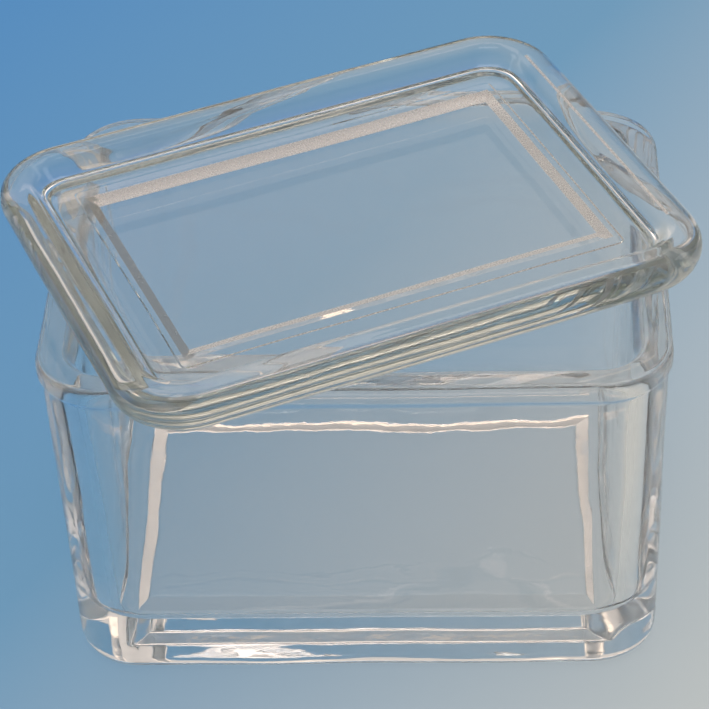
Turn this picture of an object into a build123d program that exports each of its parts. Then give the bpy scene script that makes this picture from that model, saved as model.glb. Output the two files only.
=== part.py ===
from build123d import *
import os

# Slide staining jar: a pressed glass dish with its cover lying askew across the rim.
# Millimetres, +Z up. The origin is the centre of the foot, X runs along the long side.

# dish, outside
dishLength = 92.0
dishWidth = 71.0
dishHeight = 56.0
outerCornerRadius = 10.4
footInset = 1.55
footCornerRadius = 10.0
footRound = 3.0
lipHeight = 3.3
lipReach = 0.55
lipUnderRound = 0.4
rimRound = 1.2

# dish, inside
rimWidth = 4.4
mouthCornerRadius = 6.2
shoulderInset = 5.6
shoulderDrop = 2.0
shoulderCornerRadius = 5.6
cavityInset = 6.8
cavityCornerRadius = 5.4
floorThickness = 8.0
innerFloorRound = 2.2

# recess pressed into the underside of the dish
footRecessInsetX = 9.9
footRecessInsetY = 13.0
footRecessDepth = 1.4
footRecessBevelX = 2.3
footRecessBevelY = 2.8

# cover
coverSetback = 0.6
coverCornerRadius = 10.9
flangeThickness = 6.4
flangeTopRound = 2.8
flangeUnderRound = 3.0
plugDepth = 3.6
plugClearance = 0.3
plugDraft = 0.9
plugCornerRadius = 5.4
plugRound = 0.9

# tray on top of the cover, inside its bead
beadWidth = 5.4
traySlopeWidth = 1.6
trayDepth = 3.1
trayCornerRadius = 4.6
beadInnerRound = 0.8
panelInsetX = 12.0
panelInsetY = 13.1
panelBevelX = 1.5
panelBevelY = 2.5
panelDepth = 0.4

# how the cover lies on the dish
coverTurn = 24.75
coverShiftX = -1.55
coverShiftY = -3.15

# the most that a round may take of the flange's height and of the bead's width
flangeShare = 0.47
beadShare = 0.85

# how near a flat face must lie to a height to be picked by it
nearby = 0.1

# sizes that follow
lipFoot = dishHeight - lipHeight
coverLength = dishLength - 2 * coverSetback
coverWidth = dishWidth - 2 * coverSetback
plugInset = shoulderInset + plugClearance - plugDraft * shoulderDrop / plugDepth
plugLength = dishLength - 2 * plugInset
plugWidth = dishWidth - 2 * plugInset
coverHeight = plugDepth + flangeThickness
trayFloor = coverHeight - trayDepth
trayInset = beadWidth + traySlopeWidth
topRound = min(flangeTopRound, flangeShare * flangeThickness, beadShare * beadWidth)
underRound = min(flangeUnderRound, flangeShare * flangeThickness)
coverPlane = Plane(origin=(coverShiftX, coverShiftY, dishHeight), z_dir=(0, 0, 1)).rotated((0, 0, coverTurn))


with BuildPart() as dish:
    # body, wider towards the rim by the draft of its mould
    with BuildSketch(Plane.XY):
        RectangleRounded(dishLength - 2 * footInset, dishWidth - 2 * footInset, footCornerRadius)
    with BuildSketch(Plane.XY.offset(dishHeight)):
        RectangleRounded(dishLength - 2 * lipReach, dishWidth - 2 * lipReach, outerCornerRadius)
    loft(ruled=True)
    footEdges = dish.edges().group_by(Axis.Z)[0]
    fillet(footEdges, radius=footRound)

    # lip around the rim
    with BuildSketch(Plane.XY.offset(lipFoot)):
        RectangleRounded(dishLength, dishWidth, outerCornerRadius)
    extrude(amount=lipHeight)

    # shoulder just inside the mouth
    with BuildSketch(Plane.XY.offset(dishHeight)):
        RectangleRounded(dishLength - 2 * rimWidth, dishWidth - 2 * rimWidth, mouthCornerRadius)
    with BuildSketch(Plane.XY.offset(dishHeight - shoulderDrop)):
        RectangleRounded(
            dishLength - 2 * shoulderInset,
            dishWidth - 2 * shoulderInset,
            shoulderCornerRadius,
        )
    loft(ruled=True, mode=Mode.SUBTRACT)

    # inside below the shoulder, narrower towards the floor
    with BuildSketch(Plane.XY.offset(dishHeight - shoulderDrop)):
        RectangleRounded(
            dishLength - 2 * shoulderInset,
            dishWidth - 2 * shoulderInset,
            shoulderCornerRadius,
        )
    with BuildSketch(Plane.XY.offset(floorThickness)):
        RectangleRounded(dishLength - 2 * cavityInset, dishWidth - 2 * cavityInset, cavityCornerRadius)
    loft(ruled=True, mode=Mode.SUBTRACT)
    floorFace = dish.faces().filter_by(Plane.XY).filter_by_position(
        Axis.Z, floorThickness - nearby, floorThickness + nearby
    )[0]
    fillet(floorFace.edges(), radius=innerFloorRound)

    # rounded rim, with a flat left on top for the cover to lie on
    rimFace = dish.faces().filter_by(Plane.XY).sort_by(Axis.Z)[-1]
    fillet(rimFace.edges(), radius=rimRound)
    lipFace = dish.faces().filter_by(Plane.XY).filter_by_position(
        Axis.Z, lipFoot - nearby, lipFoot + nearby
    )[0]
    fillet(lipFace.outer_wire().edges(), radius=lipUnderRound)

    # bevelled recess in the underside, sharp at its corners
    with BuildSketch(Plane.XY):
        Rectangle(dishLength - 2 * footRecessInsetX, dishWidth - 2 * footRecessInsetY)
    with BuildSketch(Plane.XY.offset(footRecessDepth)):
        Rectangle(
            dishLength - 2 * footRecessInsetX - 2 * footRecessBevelX,
            dishWidth - 2 * footRecessInsetY - 2 * footRecessBevelY,
        )
    loft(ruled=True, mode=Mode.SUBTRACT)
dish.part.label = "dish"


with BuildPart() as lid:
    # plug that drops into the mouth when the cover is on straight
    with BuildSketch(coverPlane):
        RectangleRounded(plugLength - 2 * plugDraft, plugWidth - 2 * plugDraft, plugCornerRadius - plugDraft)
    with BuildSketch(coverPlane.offset(plugDepth)):
        RectangleRounded(plugLength, plugWidth, plugCornerRadius)
    loft(ruled=True)
    plugEdges = lid.edges().group_by(Axis.Z)[0]
    fillet(plugEdges, radius=plugRound)

    # flange with a rolled edge
    with BuildSketch(coverPlane.offset(plugDepth)):
        RectangleRounded(coverLength, coverWidth, coverCornerRadius)
    extrude(amount=flangeThickness)
    topFace = lid.faces().filter_by(Plane.XY).sort_by(Axis.Z)[-1]
    fillet(topFace.edges(), radius=topRound)
    underFace = lid.faces().filter_by(Plane.XY).filter_by_position(
        Axis.Z, dishHeight + plugDepth - nearby, dishHeight + plugDepth + nearby
    )[0]
    fillet(underFace.outer_wire().edges(), radius=underRound)

    # tray inside the bead
    with BuildSketch(coverPlane.offset(coverHeight)):
        RectangleRounded(
            coverLength - 2 * beadWidth,
            coverWidth - 2 * beadWidth,
            coverCornerRadius - beadWidth,
        )
    with BuildSketch(coverPlane.offset(trayFloor)):
        RectangleRounded(coverLength - 2 * trayInset, coverWidth - 2 * trayInset, trayCornerRadius)
    loft(ruled=True, mode=Mode.SUBTRACT)
    beadFace = lid.faces().filter_by(Plane.XY).sort_by(Axis.Z)[-1]
    fillet(beadFace.inner_wires()[0].edges(), radius=beadInnerRound)

    # sunk panel with bevelled sides and sharp corners
    with BuildSketch(coverPlane.offset(trayFloor)):
        Rectangle(coverLength - 2 * panelInsetX, coverWidth - 2 * panelInsetY)
    with BuildSketch(coverPlane.offset(trayFloor - panelDepth)):
        Rectangle(
            coverLength - 2 * panelInsetX - 2 * panelBevelX,
            coverWidth - 2 * panelInsetY - 2 * panelBevelY,
        )
    loft(ruled=True, mode=Mode.SUBTRACT)
lid.part.label = "lid"

os.makedirs("parts", exist_ok=True)
export_step(dish.part, "parts/dish.step")
export_step(lid.part, "parts/lid.step")
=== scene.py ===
import math

import bmesh
import bpy
import numpy as np
from mathutils import Matrix, Vector


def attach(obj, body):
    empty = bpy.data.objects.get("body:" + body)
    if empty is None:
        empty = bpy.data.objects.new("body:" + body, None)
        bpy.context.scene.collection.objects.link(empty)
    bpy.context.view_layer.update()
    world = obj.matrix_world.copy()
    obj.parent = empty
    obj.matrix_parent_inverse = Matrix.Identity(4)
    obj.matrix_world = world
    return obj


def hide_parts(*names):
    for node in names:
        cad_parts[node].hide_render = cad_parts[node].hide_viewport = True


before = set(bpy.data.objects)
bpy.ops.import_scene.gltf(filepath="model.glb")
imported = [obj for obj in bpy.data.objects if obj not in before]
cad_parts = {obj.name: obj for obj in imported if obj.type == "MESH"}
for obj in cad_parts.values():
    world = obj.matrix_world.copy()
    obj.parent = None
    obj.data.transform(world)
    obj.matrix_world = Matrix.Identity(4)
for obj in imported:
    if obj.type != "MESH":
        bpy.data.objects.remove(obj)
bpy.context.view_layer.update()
scene = bpy.context.scene
mm = 0.001
print("frame loaded")


# Each inner corner of a profile becomes an arc. t runs from 0 to 1 over the corner, and the point is
# the weighted mean of where the arc starts, the corner and where it ends. The corner's weight is the
# cosine of half the turn, which makes the curve a circle's. No arc takes more than sideShare of the
# shorter side next to it.
def roundCorners(points, reach, steps=7, sideShare=0.49):
    before = points[:-2] - points[1:-1]
    after = points[2:] - points[1:-1]
    lenBefore = np.linalg.norm(before, axis=1, keepdims=True)
    lenAfter = np.linalg.norm(after, axis=1, keepdims=True)
    cut = np.minimum(reach[1:-1, None], sideShare * np.minimum(lenBefore, lenAfter))
    start = points[1:-1] + before / lenBefore * cut
    end = points[1:-1] + after / lenAfter * cut
    cosTurn = -np.sum(before / lenBefore * after / lenAfter, axis=1, keepdims=True)
    weight = np.sqrt(np.clip((1 + cosTurn) / 2, 0.02, 1))[:, None, :]
    t = np.linspace(0, 1, steps)[None, :, None]
    a, b, c = (1 - t) ** 2, 2 * t * (1 - t) * weight, t ** 2
    arc = (a * start[:, None, :] + b * points[1:-1][:, None, :] + c * end[:, None, :]) / (a + b + c)
    return np.vstack([points[:1], arc.reshape(-1, points.shape[1]), points[-1:]])


# A profile gets extra stations along its length, so that no step is longer than longest.
def addStations(profile, longest):
    step = np.linalg.norm(np.diff(profile, axis=0), axis=1)
    keep = np.concatenate([[True], step > 1e-6])
    profile = profile[keep]
    step = np.linalg.norm(np.diff(profile, axis=0), axis=1)
    parts = np.maximum(np.ceil(step / longest).astype(int), 1)
    index = np.repeat(np.arange(len(step)), parts)
    first = np.repeat(np.cumsum(parts) - parts, parts)
    share = (np.arange(parts.sum()) - first) / np.repeat(parts, parts)
    filled = profile[index] + share[:, None] * (profile[index + 1] - profile[index])
    return np.vstack([filled, profile[-1:]])


# A profile of (inset along X, inset along Y, height, corner radius) is carried round a rounded
# rectangle. v picks the place on the profile and u the place on the loop: a corner's point is its
# centre plus radius times (cos, sin), and a side's point lies between the ends of two corners.
def carryRound(profile, halfX, halfY, cornerSteps=14, sideX=58, sideY=44):
    signX = np.array([1, -1, -1, 1])
    signY = np.array([1, 1, -1, -1])
    arcShare = np.linspace(0, 1, cornerSteps)
    cornerA, cornerB, angleA, angleB, mix = [], [], [], [], []
    for q in range(4):
        cornerA.append(np.full(cornerSteps, q))
        cornerB.append(np.full(cornerSteps, q))
        angleA.append((q + arcShare) * np.pi / 2)
        angleB.append((q + arcShare) * np.pi / 2)
        mix.append(np.zeros(cornerSteps))
        count = sideX if q % 2 == 0 else sideY
        cornerA.append(np.full(count, q))
        cornerB.append(np.full(count, (q + 1) % 4))
        angleA.append(np.full(count, (q + 1) * np.pi / 2))
        angleB.append(np.full(count, (q + 1) * np.pi / 2))
        mix.append(np.linspace(0, 1, count + 2)[1:-1])
    cornerA, cornerB = np.concatenate(cornerA), np.concatenate(cornerB)
    angleA, angleB, mix = np.concatenate(angleA), np.concatenate(angleB), np.concatenate(mix)
    sizeX = halfX - profile[:, 0:1]
    sizeY = halfY - profile[:, 1:2]
    radius = np.minimum(np.minimum(profile[:, 3:4], sizeX), sizeY)
    radius = np.maximum(radius, 0)
    xA = signX[cornerA] * (sizeX - radius) + radius * np.cos(angleA)
    xB = signX[cornerB] * (sizeX - radius) + radius * np.cos(angleB)
    yA = signY[cornerA] * (sizeY - radius) + radius * np.sin(angleA)
    yB = signY[cornerB] * (sizeY - radius) + radius * np.sin(angleB)
    x = xA + mix * (xB - xA)
    y = yA + mix * (yB - yA)
    z = np.repeat(profile[:, 2:3], len(mix), axis=1)
    return np.stack([x, y, z], axis=-1)


# The slow swell of pressed glass: a sum of sine waves over position, each with its own direction,
# wavelength and phase, so the same seed always gives the same swell.
def swell(points, seed, wavelength, amount, waves=14):
    draw = np.random.default_rng(seed)
    turn = draw.normal(size=(waves, 3))
    turn /= np.linalg.norm(turn, axis=1, keepdims=True)
    length = wavelength * draw.uniform(0.6, 1.7, waves)
    phase = draw.uniform(0, 2 * np.pi, (waves, 3))
    along = points @ (turn / length[:, None]).T * 2 * np.pi
    field = np.sin(along[..., None] + phase).sum(axis=-2)
    return amount * field / math.sqrt(waves / 2)


# The grid becomes a closed mesh of quads, its two ends drawn together in a point each. Points nearer
# than weld become one, and edges sharper than creaseAngle stay crisp.
def meshFromGrid(name, grid, finishAndPaintedLight, creaseAngle=28, weld=2e-6):
    rows, loop, _ = grid.shape
    index = np.arange(rows * loop).reshape(rows, loop)
    right = np.roll(index, -1, axis=1)
    quads = np.stack([index[:-1], right[:-1], right[1:], index[1:]], axis=-1).reshape(-1, 4)
    mesh = bpy.data.meshes.new(name)
    mesh.vertices.add(rows * loop)
    mesh.vertices.foreach_set("co", (grid * mm).astype(np.float32).ravel())
    mesh.loops.add(quads.size)
    mesh.loops.foreach_set("vertex_index", quads.astype(np.int32).ravel())
    mesh.polygons.add(len(quads))
    mesh.polygons.foreach_set("loop_start", np.arange(0, quads.size, 4, dtype=np.int32))
    mesh.polygons.foreach_set("material_index", finishAndPaintedLight.astype(np.int32).ravel())
    mesh.update(calc_edges=True)
    mesh.validate()
    piece = bpy.data.objects.new(name, mesh)
    scene.collection.objects.link(piece)
    bm = bmesh.new()
    bm.from_mesh(mesh)
    bmesh.ops.remove_doubles(bm, verts=bm.verts, dist=weld)
    bmesh.ops.dissolve_degenerate(bm, edges=bm.edges, dist=1e-7)
    bmesh.ops.recalc_face_normals(bm, faces=bm.faces)
    bm.to_mesh(mesh)
    bm.free()
    mesh.shade_smooth()
    mesh.set_sharp_from_angle(angle=math.radians(creaseAngle))
    print(name, "triangles about", 2 * len(mesh.polygons))
    return piece


# Rows of (inset along X, inset along Y, height, corner radius, reach of rounding) become a closed
# surface. One swell moves the outside and another the inside, so the wall is a little uneven.
def pressGlass(rows, size, glass):
    rows = np.array(rows, dtype=float)
    profile = roundCorners(rows[:, :4], rows[:, 4])
    profile = addStations(profile, glass["step"])
    grid = carryRound(profile, size["halfX"], size["halfY"])
    # the highest place on the profile, and of equal ones the outermost
    high = int(np.argmax(profile[:, 2] - 0.001 * profile[:, 0]))
    step = np.linalg.norm(np.diff(profile[:, :3], axis=0), axis=1)
    length = np.concatenate([[0], np.cumsum(step)])
    inside = np.clip((length - length[high]) / glass["blend"] + 0.5, 0, 1)[:, None, None]
    for wave, amount in glass["swells"]:
        outer = swell(grid, glass["seed"], wave, amount)
        inner = swell(grid, glass["innerSeed"], wave, amount)
        grid = grid + (1 - inside) * outer + inside * inner
    return grid


# The middle of a quad is the mean of its corners, and its insets are the half sizes less |x| and |y|.
def quadMiddles(grid, size):
    middle = (grid[:-1] + grid[1:]) / 2
    middle = (middle + np.roll(middle, -1, axis=1)) / 2
    return middle, size["halfX"] - np.abs(middle[..., 0]), size["halfY"] - np.abs(middle[..., 1])


dish = {
    "halfX": 46.0, "halfY": 35.5, "height": 56.0, "cornerRadius": 10.4,
    "footInset": 1.55, "footRound": 3.0, "footCornerRadius": 9.8,
    "lipReach": 0.55, "lipHeight": 3.3, "lipSlope": 0.5,
    "rimWidth": 4.4, "rimCrown": 0.02, "mouthRadius": 6.2,
    "shoulder": 5.6, "shoulderDrop": 2.0, "shoulderRadius": 5.6,
    "cavityInset": 6.8, "cavityRadius": 5.4, "floor": 8.0, "floorRound": 2.2,
    "recessX": 9.9, "recessY": 13.0, "ceilingX": 12.2, "ceilingY": 15.8, "recessDepth": 1.4,
    "recessRadius": 0.3, "ceilingRadius": 0.1,
    "soft": {"recess": 0.5, "lipRoot": 0.8, "lip": 0.5, "rimOutside": 1.5, "rimTop": 0.8,
             "mouth": 1.0, "shoulder": 0.9},
}
# a swell is its wavelength and its height
dishGlass = {"seed": 11, "innerSeed": 18, "step": 1.6, "blend": 6.0,
             "swells": [(26, 0.035), (7, 0.006)]}


# The dish's profile runs from under its middle out to the foot, up the outside, over the rim and down
# to the middle of the floor inside. The last number of a row is how far its corner is softened.
def dishRows(d):
    top, rim, soft = d["height"], d["rimWidth"], d["soft"]
    lipFoot = top - d["lipHeight"]
    return [
        (d["halfX"], d["halfY"], d["recessDepth"], 0, 0),
        (d["ceilingX"], d["ceilingY"], d["recessDepth"], d["ceilingRadius"], soft["recess"]),
        (d["recessX"], d["recessY"], 0, d["recessRadius"], soft["recess"]),
        (d["footInset"], d["footInset"], 0, d["footCornerRadius"], d["footRound"]),
        (d["lipReach"], d["lipReach"], lipFoot, d["cornerRadius"], soft["lipRoot"]),
        (0, 0, lipFoot + d["lipSlope"], d["cornerRadius"], soft["lip"]),
        (0, 0, top, d["cornerRadius"], soft["rimOutside"]),
        (rim / 2, rim / 2, top + d["rimCrown"], d["cornerRadius"] - rim / 2, soft["rimTop"]),
        (rim, rim, top, d["mouthRadius"], soft["mouth"]),
        (d["shoulder"], d["shoulder"], top - d["shoulderDrop"], d["shoulderRadius"],
         soft["shoulder"]),
        (d["cavityInset"], d["cavityInset"], d["floor"], d["cavityRadius"], d["floorRound"]),
        (d["halfX"], d["halfY"], d["floor"], 0, 0),
    ]


# Finish of each quad of the dish by its middle: 1, stippled, on the bevel of the recess, 0 elsewhere.
def dishFinish(grid, d):
    middle, insetX, insetY = quadMiddles(grid, d)
    low = middle[..., 2] < d["floor"] / 2
    inRecess = low & (insetX > d["recessX"]) & (insetY > d["recessY"])
    return np.where(inRecess & ((insetX < d["ceilingX"]) | (insetY < d["ceilingY"])), 1, 0)


dishGrid = pressGlass(dishRows(dish), dish, dishGlass)
dishBody = meshFromGrid("dishBody", dishGrid, dishFinish(dishGrid, dish))

cover = {
    "halfX": 45.4, "halfY": 34.9, "cornerRadius": 10.9,
    "plugInset": 4.8, "plugDraft": 0.9, "plugDepth": 3.6,
    "top": 9.9, "widest": 6.9, "noseUnder": 3.0, "noseOver": 2.8,
    "crestInset": 4.2, "crest": 10.0, "ridgeInset": 5.4, "ridge": 9.6,
    "trayInset": 7.0, "trayRadius": 4.6, "tray": 6.85,
    "ledge": 7.0, "ledgeX": 11.0, "ledgeY": 11.25, "lineWidth": 0.3, "lineDepth": 0.12,
    "lineRadii": (1.2, 1.0, 0.8), "bevelRadius": 0.2, "panelRadius": 0.1,
    "bevelX": 12.0, "bevelY": 13.1, "panelX": 13.5, "panelY": 15.6, "panel": 6.5,
    "paintedCrestHighlightInset": 4.3, "paintedCrestHighlightHalf": 0.22,
    "soft": {"plug": 1.0, "crest": 0.6, "ridge": 0.8, "tray": 1.1, "bevel": 0.2, "panel": 0.3},
    "turn": 24.745, "shiftX": -1.54, "shiftY": -3.15, "lift": 0.06,
}
coverGlass = {"seed": 29, "innerSeed": 36, "step": 1.4, "blend": 5.0,
              "swells": [(24, 0.03), (8, 0.003)]}


# The rolled edge is two quarter ellipses: inset = reach (1 - cos t), height = widest + rise sin t.
def rolledEdge(reach, widest, rise, corner, steps=20):
    t = np.linspace(0, np.pi / 2, steps)
    inset = reach * (1 - np.cos(t))
    return np.stack([inset, inset, widest + rise * np.sin(t), corner - inset, 0 * t], axis=1)


# The cover's profile runs from under its middle out along the plug, round the rolled edge and over
# the bead, then down into the tray and across the fine line and the bevel to the middle of the panel.
def coverRows(c):
    corner, root, ledge, soft = c["cornerRadius"], c["plugInset"], c["ledge"], c["soft"]
    foot = root + c["plugDraft"]
    crest, ridge, tray = c["crestInset"], c["ridgeInset"], c["trayInset"]
    under = rolledEdge(c["noseUnder"], c["widest"], c["plugDepth"] - c["widest"], corner)[::-1]
    over = rolledEdge(c["noseOver"], c["widest"], c["top"] - c["widest"], corner)
    lineX, lineY, half = c["ledgeX"], c["ledgeY"], c["lineWidth"] / 2
    outerRadius, middleRadius, innerRadius = c["lineRadii"]
    return np.vstack([
        (c["halfX"], c["halfY"], 0, 0, 0),
        (foot, foot, 0, corner - foot, soft["plug"]),
        (root, root, c["plugDepth"], corner - root, soft["plug"]),
        under,
        over[1:],
        (crest, crest, c["crest"], corner - crest, soft["crest"]),
        (ridge, ridge, c["ridge"], corner - ridge, soft["ridge"]),
        (tray, tray, c["tray"], c["trayRadius"], soft["tray"]),
        (lineX - half, lineY - half, ledge, outerRadius, 0),
        (lineX, lineY, ledge - c["lineDepth"], middleRadius, 0),
        (lineX + half, lineY + half, ledge, innerRadius, 0),
        (c["bevelX"], c["bevelY"], ledge, c["bevelRadius"], soft["bevel"]),
        (c["panelX"], c["panelY"], c["panel"], c["panelRadius"], soft["panel"]),
        (c["halfX"], c["halfY"], c["panel"], 0, 0),
    ])


# The cover is turned about Z, shifted and set down on the rim: x' = x cos a - y sin a + shift.
def setDown(grid, c, height):
    turn = math.radians(c["turn"])
    cos, sin = math.cos(turn), math.sin(turn)
    spin = np.array([[cos, sin, 0], [-sin, cos, 0], [0, 0, 1]])
    return grid @ spin + np.array([c["shiftX"], c["shiftY"], height])


# Finish of each quad on top of the cover: 1, satin with a painted highlight, on the right and back
# bevels of the panel, the inner half of the front one, the right and front of the fine line and a
# strip of the right crest, and 2, painted shade, a darker grey on the left bevel. Their roughness and
# bump are a real finish; their colour is painted light.
def coverFinishAndPaintedLight(grid, c):
    middle, insetX, insetY = quadMiddles(grid, c)
    onTop = middle[..., 2] > c["top"] / 2
    left, front = middle[..., 0] < 0, middle[..., 1] < 0
    ends = (insetX > c["bevelX"]) & (insetX < c["panelX"]) & (insetY > c["bevelY"])
    sides = (insetY > c["bevelY"]) & (insetY < c["panelY"]) & (insetX > c["bevelX"])
    sides &= ~front | (insetY > (c["bevelY"] + c["panelY"]) / 2)
    half = c["lineWidth"] / 2
    # painted highlight on the right and front of the fine line
    paintedLineHighlight = ~left & (np.abs(insetX - c["ledgeX"]) < half) & (insetY > c["ledgeY"])
    paintedLineHighlight |= front & (np.abs(insetY - c["ledgeY"]) < half) & (insetX > c["ledgeX"])
    # painted highlight: a thin strip along the right crest
    crest = ~left & (insetY > c["cornerRadius"])
    crest &= np.abs(insetX - c["paintedCrestHighlightInset"]) < c["paintedCrestHighlightHalf"]
    # 2 is painted shade on the left bevel, 1 is painted highlight on the other marked quads
    return np.select([onTop & ends & left, onTop & (ends | sides | paintedLineHighlight | crest)], [2, 1], 0)


coverGrid = pressGlass(coverRows(cover), cover, coverGlass)
coverPaintedLightMask = coverFinishAndPaintedLight(coverGrid, cover)
coverGrid = setDown(coverGrid, cover, dish["height"] + cover["lift"])
coverBody = meshFromGrid("coverBody", coverGrid, coverPaintedLightMask)


skinLook = {"fineShare": 0.12, "hazeFrom": 0.45, "hazeTo": 0.75}


# Fine unevenness of a pressed surface: height is a broad noise plus a share of a fine one, and haze
# goes from dull to duller as the fine noise goes from hazeFrom to hazeTo.
def buildGlassSkin(look):
    group = bpy.data.node_groups.new("glassSkin", "ShaderNodeTree")
    face = group.interface
    face.new_socket("Broad", in_out="INPUT", socket_type="NodeSocketFloat").default_value = 60.0
    face.new_socket("Fine", in_out="INPUT", socket_type="NodeSocketFloat").default_value = 400.0
    face.new_socket("Dull", in_out="INPUT", socket_type="NodeSocketFloat").default_value = 0.0
    face.new_socket("Duller", in_out="INPUT", socket_type="NodeSocketFloat").default_value = 0.05
    face.new_socket("Height", in_out="OUTPUT", socket_type="NodeSocketFloat")
    face.new_socket("Haze", in_out="OUTPUT", socket_type="NodeSocketFloat")
    nodes, links = group.nodes, group.links
    ins = nodes.new("NodeGroupInput")
    outs = nodes.new("NodeGroupOutput")
    place = nodes.new("ShaderNodeTexCoord")
    broad = nodes.new("ShaderNodeTexNoise")
    fine = nodes.new("ShaderNodeTexNoise")
    broad.inputs["Detail"].default_value = 1.0
    fine.inputs["Detail"].default_value = 2.0
    blend = nodes.new("ShaderNodeMath")
    blend.operation = "MULTIPLY_ADD"
    blend.inputs[1].default_value = look["fineShare"]
    haze = nodes.new("ShaderNodeMapRange")
    haze.inputs["From Min"].default_value = look["hazeFrom"]
    haze.inputs["From Max"].default_value = look["hazeTo"]
    links.new(place.outputs["Object"], broad.inputs["Vector"])
    links.new(place.outputs["Object"], fine.inputs["Vector"])
    links.new(ins.outputs["Broad"], broad.inputs["Scale"])
    links.new(ins.outputs["Fine"], fine.inputs["Scale"])
    links.new(fine.outputs["Fac"], blend.inputs[0])
    links.new(broad.outputs["Fac"], blend.inputs[2])
    links.new(blend.outputs[0], outs.inputs["Height"])
    links.new(fine.outputs["Fac"], haze.inputs["Value"])
    links.new(ins.outputs["Dull"], haze.inputs["To Min"])
    links.new(ins.outputs["Duller"], haze.inputs["To Max"])
    links.new(haze.outputs["Result"], outs.inputs["Haze"])
    return group


glassSkin = buildGlassSkin(skinLook)


# Clear glass with a skin, and a tint that deepens with the way the light has through it.
def glassMaterial(name, look):
    material = bpy.data.materials.new(name)
    material.use_nodes = True
    nodes, links = material.node_tree.nodes, material.node_tree.links
    shader = nodes["Principled BSDF"]
    shader.inputs["Base Color"].default_value = (*look["colour"], 1)
    shader.inputs["Metallic"].default_value = 0.0
    shader.inputs["Transmission Weight"].default_value = look["clear"]
    shader.inputs["IOR"].default_value = look["ior"]
    skin = nodes.new("ShaderNodeGroup")
    skin.node_tree = glassSkin
    skin.inputs["Broad"].default_value = look["broad"]
    skin.inputs["Fine"].default_value = look["fine"]
    skin.inputs["Dull"].default_value = look["dull"]
    skin.inputs["Duller"].default_value = look["duller"]
    bump = nodes.new("ShaderNodeBump")
    bump.inputs["Strength"].default_value = look["bump"]
    bump.inputs["Distance"].default_value = mm
    links.new(skin.outputs["Height"], bump.inputs["Height"])
    links.new(bump.outputs["Normal"], shader.inputs["Normal"])
    links.new(skin.outputs["Haze"], shader.inputs["Roughness"])
    body = nodes.new("ShaderNodeVolumeAbsorption")
    body.inputs["Color"].default_value = (*look["tint"], 1)
    body.inputs["Density"].default_value = look["density"]
    links.new(body.outputs["Volume"], nodes["Material Output"].inputs["Volume"])
    return material


clearLook = {"colour": (1.0, 0.98, 0.96), "clear": 0.98, "ior": 1.52, "broad": 90.0, "fine": 500.0,
             "dull": 0.0, "duller": 0.03, "bump": 0.04, "tint": (0.80, 0.83, 0.80), "density": 2.5}
coverLook = {**clearLook, "tint": (0.72, 0.76, 0.70), "density": 16.0}
# painted highlight: a pale beige, partly opaque skin stands in for the sheen of a warm light on the
# lit bevels, fine line and crest; its roughness and bump are a real satin finish
satinPaintedSheenLook = {**coverLook, "colour": (0.97, 0.90, 0.86), "clear": 0.6, "fine": 3500.0, "dull": 0.26,
             "duller": 0.38, "bump": 0.09}
# painted shade: a darker grey, partly opaque skin, used on the left bevel only
paintedShadeLook = {**satinPaintedSheenLook, "colour": (0.55, 0.53, 0.52), "clear": 0.75, "dull": 0.08, "duller": 0.3,
             "fine": 1200.0, "bump": 0.12}
stippleLook = {**clearLook, "fine": 900.0, "bump": 0.15, "duller": 0.15, "clear": 0.85}
dishBody.data.materials.append(glassMaterial("dishGlass", clearLook))
dishBody.data.materials.append(glassMaterial("dishStipple", stippleLook))
coverBody.data.materials.append(glassMaterial("coverGlass", coverLook))
# this material carries the painted highlight
coverBody.data.materials.append(glassMaterial("coverSatinPaintedSheen", satinPaintedSheenLook))
# this material carries the painted shade
coverBody.data.materials.append(glassMaterial("coverPaintedShade", paintedShadeLook))

for piece, node, slot in ((dishBody, "dish", "dish_glass"), (coverBody, "lid", "lid_glass")):
    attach(piece, "root")
    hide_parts(node)
print("glass pieces made")

floorLook = {"half": 1.5, "drop": 0.00015,
             "near": (0.58, 0.60, 0.58), "mid": (0.165, 0.34, 0.52), "far": (0.092, 0.27, 0.545),
             "midPlace": 0.5, "turn": 30.0, "spread": 4.2, "middle": 0.67,
             "roughness": 0.7, "specular": 0.2, "ownLight": 0.75}


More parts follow.
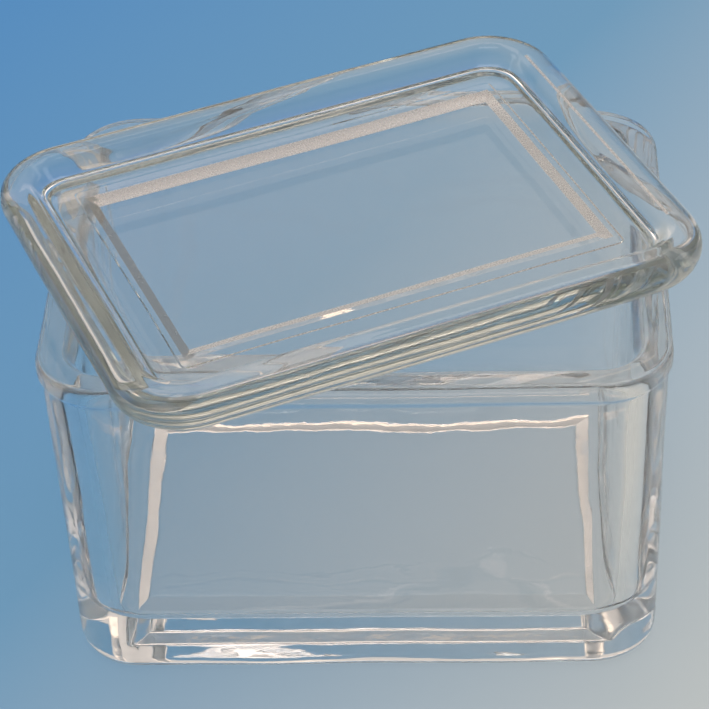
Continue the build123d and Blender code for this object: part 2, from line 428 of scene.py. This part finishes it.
# A flat sheet just under the foot, whose colour fades from far to near along one slanting line.
def makeFloor(look):
    half, low = look["half"], -look["drop"]
    mesh = bpy.data.meshes.new("floor")
    corners = [(-half, -half, low), (half, -half, low), (half, half, low), (-half, half, low)]
    mesh.from_pydata(corners, [], [(0, 1, 2, 3)])
    floor = bpy.data.objects.new("floor", mesh)
    scene.collection.objects.link(floor)
    material = bpy.data.materials.new("floorPaper")
    material.use_nodes = True
    nodes, links = material.node_tree.nodes, material.node_tree.links
    shader = nodes["Principled BSDF"]
    shader.inputs["Roughness"].default_value = look["roughness"]
    shader.inputs["Specular IOR Level"].default_value = look["specular"]
    place = nodes.new("ShaderNodeTexCoord")
    turn = nodes.new("ShaderNodeMapping")
    turn.inputs["Rotation"].default_value = (0, 0, math.radians(look["turn"]))
    turn.inputs["Scale"].default_value = (look["spread"],) * 3
    turn.inputs["Location"].default_value = (look["middle"], 0, 0)
    fade = nodes.new("ShaderNodeTexGradient")
    fade.gradient_type = "LINEAR"
    ramp = nodes.new("ShaderNodeValToRGB")
    ramp.color_ramp.elements[0].color = (*look["far"], 1)
    ramp.color_ramp.elements[1].color = (*look["near"], 1)
    ramp.color_ramp.elements.new(look["midPlace"]).color = (*look["mid"], 1)
    links.new(place.outputs["Object"], turn.inputs["Vector"])
    links.new(turn.outputs["Vector"], fade.inputs["Vector"])
    links.new(fade.outputs["Fac"], ramp.inputs["Fac"])
    links.new(ramp.outputs["Color"], shader.inputs["Base Color"])
    # what the eye and the glass see of the floor keeps part of its own colour
    path = nodes.new("ShaderNodeLightPath")
    seen = nodes.new("ShaderNodeMath")
    seen.operation = "MAXIMUM"
    through = nodes.new("ShaderNodeMath")
    through.operation = "MAXIMUM"
    share = nodes.new("ShaderNodeMath")
    share.operation = "MULTIPLY"
    share.inputs[1].default_value = look["ownLight"]
    glow = nodes.new("ShaderNodeEmission")
    mixed = nodes.new("ShaderNodeMixShader")
    links.new(path.outputs["Is Camera Ray"], seen.inputs[0])
    links.new(path.outputs["Is Glossy Ray"], seen.inputs[1])
    links.new(seen.outputs[0], through.inputs[0])
    links.new(path.outputs["Is Transmission Ray"], through.inputs[1])
    links.new(through.outputs[0], share.inputs[0])
    links.new(ramp.outputs["Color"], glow.inputs["Color"])
    links.new(share.outputs[0], mixed.inputs["Fac"])
    links.new(shader.outputs["BSDF"], mixed.inputs[1])
    links.new(glow.outputs["Emission"], mixed.inputs[2])
    links.new(mixed.outputs["Shader"], nodes["Material Output"].inputs["Surface"])
    mesh.materials.append(material)


makeFloor(floorLook)

roomLook = {"dark": (0.11, 0.12, 0.11), "middle": (0.46, 0.44, 0.43), "light": (0.78, 0.71, 0.66),
            "axis": (-0.05, 0.10, 0.95), "darkBelow": 0.14, "lightAbove": 0.58}


# The room is pale above and dark round the horizon: its colour follows the share of a ray's
# direction that lies along an axis, which leans a little to the back.
def makeRoom(look):
    world = bpy.data.worlds.new("room")
    scene.world = world
    world.use_nodes = True
    nodes, links = world.node_tree.nodes, world.node_tree.links
    place = nodes.new("ShaderNodeTexCoord")
    share = nodes.new("ShaderNodeVectorMath")
    share.operation = "DOT_PRODUCT"
    share.inputs[1].default_value = look["axis"]
    spread = nodes.new("ShaderNodeMapRange")
    spread.inputs["From Min"].default_value = look["darkBelow"]
    spread.inputs["From Max"].default_value = look["lightAbove"]
    ramp = nodes.new("ShaderNodeValToRGB")
    ramp.color_ramp.elements[0].color = (*look["dark"], 1)
    ramp.color_ramp.elements[1].color = (*look["light"], 1)
    ramp.color_ramp.elements.new(0.5).color = (*look["middle"], 1)
    links.new(place.outputs["Generated"], share.inputs[0])
    links.new(share.outputs["Value"], spread.inputs["Value"])
    links.new(spread.outputs["Result"], ramp.inputs["Fac"])
    links.new(ramp.outputs["Color"], nodes["Background"].inputs["Color"])


makeRoom(roomLook)

lampAim = Vector((0, 0, 0.04))  # every lamp faces this place, a little above the object's middle


# A soft box looks at the object from an azimuth and elevation, both in degrees, at a distance.
def softBox(name, azimuth, elevation, distance, width, height, power, colour):
    lamp = bpy.data.lights.new(name, "AREA")
    lamp.shape = "RECTANGLE"
    lamp.size, lamp.size_y = width, height
    lamp.energy = power
    lamp.color = colour
    box = bpy.data.objects.new(name, lamp)
    scene.collection.objects.link(box)
    a, e = math.radians(azimuth), math.radians(elevation)
    away = Vector((math.cos(e) * math.sin(a), -math.cos(e) * math.cos(a), math.sin(e)))
    box.location = lampAim + distance * away
    box.rotation_euler = (-away).to_track_quat("-Z", "Y").to_euler()


# name: azimuth, elevation, distance, width, height, power, colour
softBoxes = {
    "boxBack": (191, 56, 1.1, 0.70, 0.30, 0.9, (1.0, 0.84, 0.76)),
    "boxLow": (190, 22, 1.1, 0.55, 0.12, 0.25, (1.0, 0.76, 0.56)),
    "boxLeft": (-100, 30, 1.1, 0.30, 0.50, 0.6, (1.0, 0.96, 0.95)),
    "boxRight": (95, 30, 1.1, 0.30, 0.40, 0.5, (1.0, 0.95, 0.92)),
    "boxTop": (0, 88, 1.3, 0.60, 0.60, 2.0, (1.0, 0.98, 0.96)),
}
for name, settings in softBoxes.items():
    softBox(name, *settings)
print("floor, room and soft boxes made")

view = {"target": (-0.00154, 0.00222, 0.03296), "azimuth": 3.645, "elevation": 38.01, "roll": -3.0,
        "distance": 0.4671, "lens": 152.3}


# The camera looks at the target from an azimuth and elevation, rolled about its own line of sight.
def makeCamera(v):
    a, e, r = (math.radians(v[k]) for k in ("azimuth", "elevation", "roll"))
    back = Vector((math.cos(e) * math.sin(a), -math.cos(e) * math.cos(a), math.sin(e)))
    right = Vector((0, 0, 1)).cross(back).normalized()
    up = back.cross(right)
    side = math.cos(r) * right + math.sin(r) * up
    top = math.cos(r) * up - math.sin(r) * right
    data = bpy.data.cameras.new("camera")
    data.lens = v["lens"]
    data.clip_start = 0.01
    camera = bpy.data.objects.new("camera", data)
    scene.collection.objects.link(camera)
    camera.matrix_world = Matrix.Translation(Vector(v["target"]) + v["distance"] * back) @ Matrix(
        (side, top, back)).transposed().to_4x4()
    scene.camera = camera


makeCamera(view)
scene.view_settings.view_transform = "Standard"
glassBounces = 80  # light passes many glass faces before it gets out
scene.cycles.max_bounces = glassBounces
scene.cycles.transmission_bounces = glassBounces
scene.cycles.glossy_bounces = glassBounces

print("scene ready")
